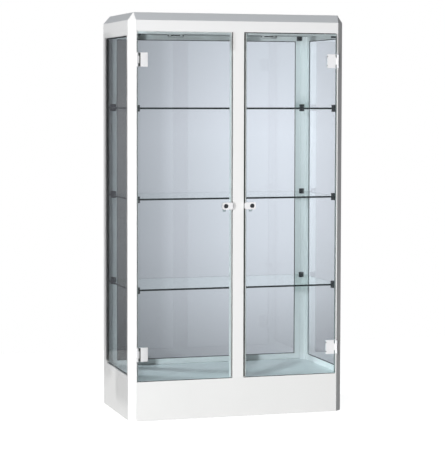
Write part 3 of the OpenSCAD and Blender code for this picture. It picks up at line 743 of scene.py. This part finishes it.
# ---- Doors ----
# Two frameless panes of 6 mm glass, bored for the hinge screws and the lock. Their edges are ground and
# polished, and look paler than those of the fixed panes.
door_edge = 0.0007
polished_pale = (0.78, 0.87, 0.86, 1)
polished_deep = (0.66, 0.79, 0.77, 1)

door_side = coat("door_edge", polished_pale, polished_deep, gloss=0.35, patch=0.06, grain=0.0006,
                 depth=0.00004)
for side in ("left", "right"):
    glaze(side + "_door_glass", "door_glass", door_edge, clear_pane, door_side)


# ---- Locks ----
# A cam lock on each door: a white moulded housing outside, a chromed barrel with its nut behind the glass,
# the plug with its keyway, and a zinc plated steel cam that turns behind the stop of the mullion.
housing_edge = 0.0015
barrel_edge = 0.0006
cam_edge = 0.0004
moulded_white = (0.87, 0.87, 0.88, 1)
moulded_worn = (0.84, 0.84, 0.85, 1)
chrome_pale = (0.80, 0.80, 0.81, 1)
chrome_dark = (0.66, 0.66, 0.68, 1)
zinc_pale = (0.72, 0.73, 0.73, 1)
zinc_dark = (0.60, 0.61, 0.62, 1)

moulding_white = coat("lock_moulding", moulded_white, moulded_worn, gloss=0.20, patch=0.03, grain=0.0010,
                      depth=0.00005)
chrome = coat("lock_chrome", chrome_pale, chrome_dark, gloss=0.12, patch=0.01, grain=0.0005, depth=0.00003,
              metal=1.0)
zinc = coat("plated_zinc", zinc_pale, zinc_dark, gloss=0.45, patch=0.01, grain=0.0004, depth=0.00004,
            metal=0.3)
for side in ("left", "right"):
    dress(side + "_lock_housing", "lock_white", housing_edge, moulding_white, steps=3)
    dress(side + "_lock_barrel", "lock_chrome", barrel_edge, chrome)
    dress(side + "_lock_plug", "lock_chrome", cam_edge, chrome)
    dress(side + "_lock_cam", "steel", cam_edge, zinc)


# ---- Studio floor and wall ----
# A pale floor, and a wall behind the case that only shows through the glass. The wall's light and shade are
# painted: it glows brightest right of the middle, and a brown stretch towards its left end is painted
# shade.
# Seen through the glass, the floor is a plain haze up to the middle of the case and takes the wall's
# colours behind it.
floor_low = (-7.0, -7.0, 0.0)
floor_high = (9.0, 1.9, 0.0)
floor_paint = (0.35, 0.35, 0.35, 1)
floor_glow = 0.90
floor_fade = (0.3, 0.7)
haze = (0.62, 0.66, 0.72, 1)
white = (1, 1, 1, 1)
wall_low = (-5.0, 1.9, -1.0)
wall_high = (7.0, 1.9, 4.0)
wall_light = 0.95
wall_tint = (1.0, 0.97, 1.10, 1)
wall_shade_brown = (0.23, 0.22, 0.20, 1)
wall_span = (-0.6, 1.5)
wall_rise = (-0.1, 1.9)


def grey(level):
    """A neutral colour of one brightness."""
    return (level, level, level, 1)


# Painted light and shade of the wall: brighter right of the middle, a brown painted shade to the left,
# darker towards the bottom and a little darker at the top.
wall_light_across = [
    (0.00, grey(0.40)), (0.12, wall_shade_brown), (0.30, wall_shade_brown), (0.33, grey(0.53)), (0.383, grey(0.60)),
    (0.42, grey(0.74)), (0.58, grey(0.94)), (0.695, white), (0.787, white), (0.817, grey(1.20)),
    (0.878, grey(1.10)), (0.94, grey(0.97))]
wall_light_upwards = [
    (0.05, grey(0.50)), (0.20, grey(0.745)), (0.36, grey(0.88)), (0.66, white), (0.92, grey(0.82))]


def stage_sheet(name, low, high, finish):
    """A flat sheet of the studio between two opposite corners, which share one coordinate."""
    bpy.ops.mesh.primitive_plane_add(size=1)
    sheet = bpy.context.object
    sheet.name = name
    width, rise = [axis for axis in range(3) if low[axis] != high[axis]]
    for corner, point in enumerate(sheet.data.vertices):
        place = list(low)
        place[width] = (low, high)[corner % 2][width]
        place[rise] = (low, high)[corner // 2][rise]
        point.co = place
    sheet.data.materials.append(finish)
    return sheet


def hide_from(thing, *rays):
    """Keeps a thing of the studio out of sight of these kinds of ray."""
    for ray in rays:
        setattr(thing, "visible_" + ray, False)


def over_span(pen, axis, span, top=1.0):
    """A number that grows from zero to its top over a span of one axis."""
    place = pen.node("ShaderNodeTexCoord", out="Object")
    reach = pen.node("ShaderNodeSeparateXYZ", {}, {"Vector": place}, out=axis)
    return pen.node("ShaderNodeMapRange", {}, {
        "Value": reach, "From Min": span[0], "From Max": span[1], "To Max": top})


def direct_view(pen):
    """One for a ray that comes from the camera through glass alone, and zero for any other."""
    through = pen.node("ShaderNodeLightPath", out="Is Transmission Ray")
    bounces = pen.node("ShaderNodeLightPath", out="Diffuse Depth")
    return through * (bounces < 0.5)


def backdrop(pen):
    """The colour of what lies behind the case, with its painted light and shade by place: across, times
    upwards, times the tint.
    """
    colour = wall_tint
    for axis, span, stops in (("Z", wall_rise, wall_light_upwards), ("X", wall_span, wall_light_across)):
        field = pen.node("ShaderNodeValToRGB", {"stops": stops}, {"Fac": over_span(pen, axis, span)})
        colour = pen.node("ShaderNodeMix", {"data_type": "RGBA", "blend_type": "MULTIPLY"},
                          {0: 1.0, 6: field, 7: colour}, out=2)
    return colour


floor_finish, pen = new_finish("floor_paint")
paint = pen.node("ShaderNodeBsdfDiffuse", {}, {"Color": floor_paint})
shown = pen.node("ShaderNodeLightPath", out="Is Camera Ray")
glow = pen.node("ShaderNodeEmission", {}, {"Color": white, "Strength": shown * floor_glow})
open_floor = pen.node("ShaderNodeAddShader", {}, {0: paint, 1: glow})
behind = over_span(pen, "Y", floor_fade)
under = pen.node("ShaderNodeMix", {"data_type": "RGBA"}, {0: behind, 6: haze, 7: backdrop(pen)}, out=2)
seen = pen.node("ShaderNodeEmission", {}, {"Color": under, "Strength": wall_light})
both = pen.node("ShaderNodeMixShader", {}, {0: direct_view(pen), 1: open_floor, 2: seen})
pen.node("ShaderNodeOutputMaterial", {}, {"Surface": both})
stage_sheet("floor", floor_low, floor_high, floor_finish)

wall_finish, pen = new_finish("wall_light")
lit = pen.node("ShaderNodeEmission", {}, {
    "Color": backdrop(pen), "Strength": direct_view(pen) * wall_light})
pen.node("ShaderNodeOutputMaterial", {}, {"Surface": lit})
wall = stage_sheet("wall", wall_low, wall_high, wall_finish)
hide_from(wall, "camera", "diffuse", "glossy", "shadow")


# ---- Studio flag and nets ----
# A black flag beside the left pane, a net to the left in front of the case and two nets before the tops of
# the doors. They dim the lamps' light on parts of the case, and nothing but that light meets them.
flag_low = (-0.62, -0.30, 0.24)
flag_high = (-0.62, 0.098, 1.68)
net_low = (-1.09, -0.80, 0.37)
net_high = (-0.79, -0.80, 1.58)
net_fade = (0.50, 1.25)
net_clear = 0.60
top_net_y = -0.270
top_net_sides = ((-0.455, -0.040), (0.018, 0.455))
top_net_heights = (1.635, 1.712)
top_net_clear = (0.66, 0.63, 0.62, 1)

card, pen = new_finish("flag_card")
black = pen.node("ShaderNodeBsdfDiffuse", {}, {"Color": (0, 0, 0, 1)})
pen.node("ShaderNodeOutputMaterial", {}, {"Surface": black})
side_net, pen = new_finish("scrim_net")
mesh = pen.node("ShaderNodeBsdfTransparent", {}, {"Color": over_span(pen, "Z", net_fade, net_clear)})
pen.node("ShaderNodeOutputMaterial", {}, {"Surface": mesh})
top_net, pen = new_finish("top_net")
mesh = pen.node("ShaderNodeBsdfTransparent", {}, {"Color": top_net_clear})
pen.node("ShaderNodeOutputMaterial", {}, {"Surface": mesh})

shades = [stage_sheet("side_flag", flag_low, flag_high, card),
          stage_sheet("side_scrim", net_low, net_high, side_net)]
for left, right in top_net_sides:
    shades.append(stage_sheet("top_scrim", (left, top_net_y, top_net_heights[0]),
                              (right, top_net_y, top_net_heights[1]), top_net))
for sheet in shades:
    hide_from(sheet, "camera", "diffuse", "glossy", "transmission")


# ---- Studio lamps ----
# Four round soft lamps: two in front of the case, to its left, and two larger ones high up behind it. They
# are as bright far off as near, and only their light shows.
lamp_aim = Vector((0, 0, 0.95))
front_width = 0.30
back_width = 3 * front_width
studio_lamps = (
    ("front_lamp", (-1.89, -4.43, 1.24), 5.9, front_width),
    ("side_lamp", (-4.15, -3.35, 1.10), 6.5, front_width),
    ("left_lamp", (-3.6, 2.2, 4.6), 3.6, back_width),
    ("back_lamp", (3.5, 3.6, 6.0), 2.4, back_width))

for name, place, power, width in studio_lamps:
    bpy.ops.object.light_add(type="AREA", location=place)
    lamp = bpy.context.object
    lamp.name = name
    lamp.rotation_euler = (lamp_aim - Vector(place)).to_track_quat("-Z", "Y").to_euler()
    hide_from(lamp, "camera", "glossy", "transmission")
    lamp.data.shape = "DISK"
    lamp.data.size = width
    lamp.data.energy = power
    lamp.data.use_nodes = True
    lamp.data.node_tree.nodes.clear()
    pen = Shade(lamp.data.node_tree)
    even = pen.node("ShaderNodeLightFalloff", {}, {"Strength": 1.0}, out="Constant")
    glow = pen.node("ShaderNodeEmission", {}, {"Color": white, "Strength": even})
    pen.node("ShaderNodeOutputLight", {}, {"Surface": glow})


# ---- Studio surroundings ----
# What lies around the floor and the wall: white to the camera, a bluish haze through the glass, and a dim
# cool light for all else.
ambient = (0.060, 0.064, 0.070, 1)

world = bpy.data.worlds.new("studio")
bpy.context.scene.world = world
world.use_nodes = True
world.node_tree.nodes.clear()
pen = Shade(world.node_tree)
camera_ray = pen.node("ShaderNodeLightPath", out="Is Camera Ray")
around = pen.node("ShaderNodeMix", {"data_type": "RGBA"}, {0: direct_view(pen), 6: ambient, 7: haze}, out=2)
backing = pen.node("ShaderNodeMix", {"data_type": "RGBA"}, {0: camera_ray, 6: around, 7: white}, out=2)
sky = pen.node("ShaderNodeBackground", {}, {"Color": backing, "Strength": 1.0})
pen.node("ShaderNodeOutputWorld", {}, {"Surface": sky})

bpy.context.scene.view_settings.view_transform = "Standard"
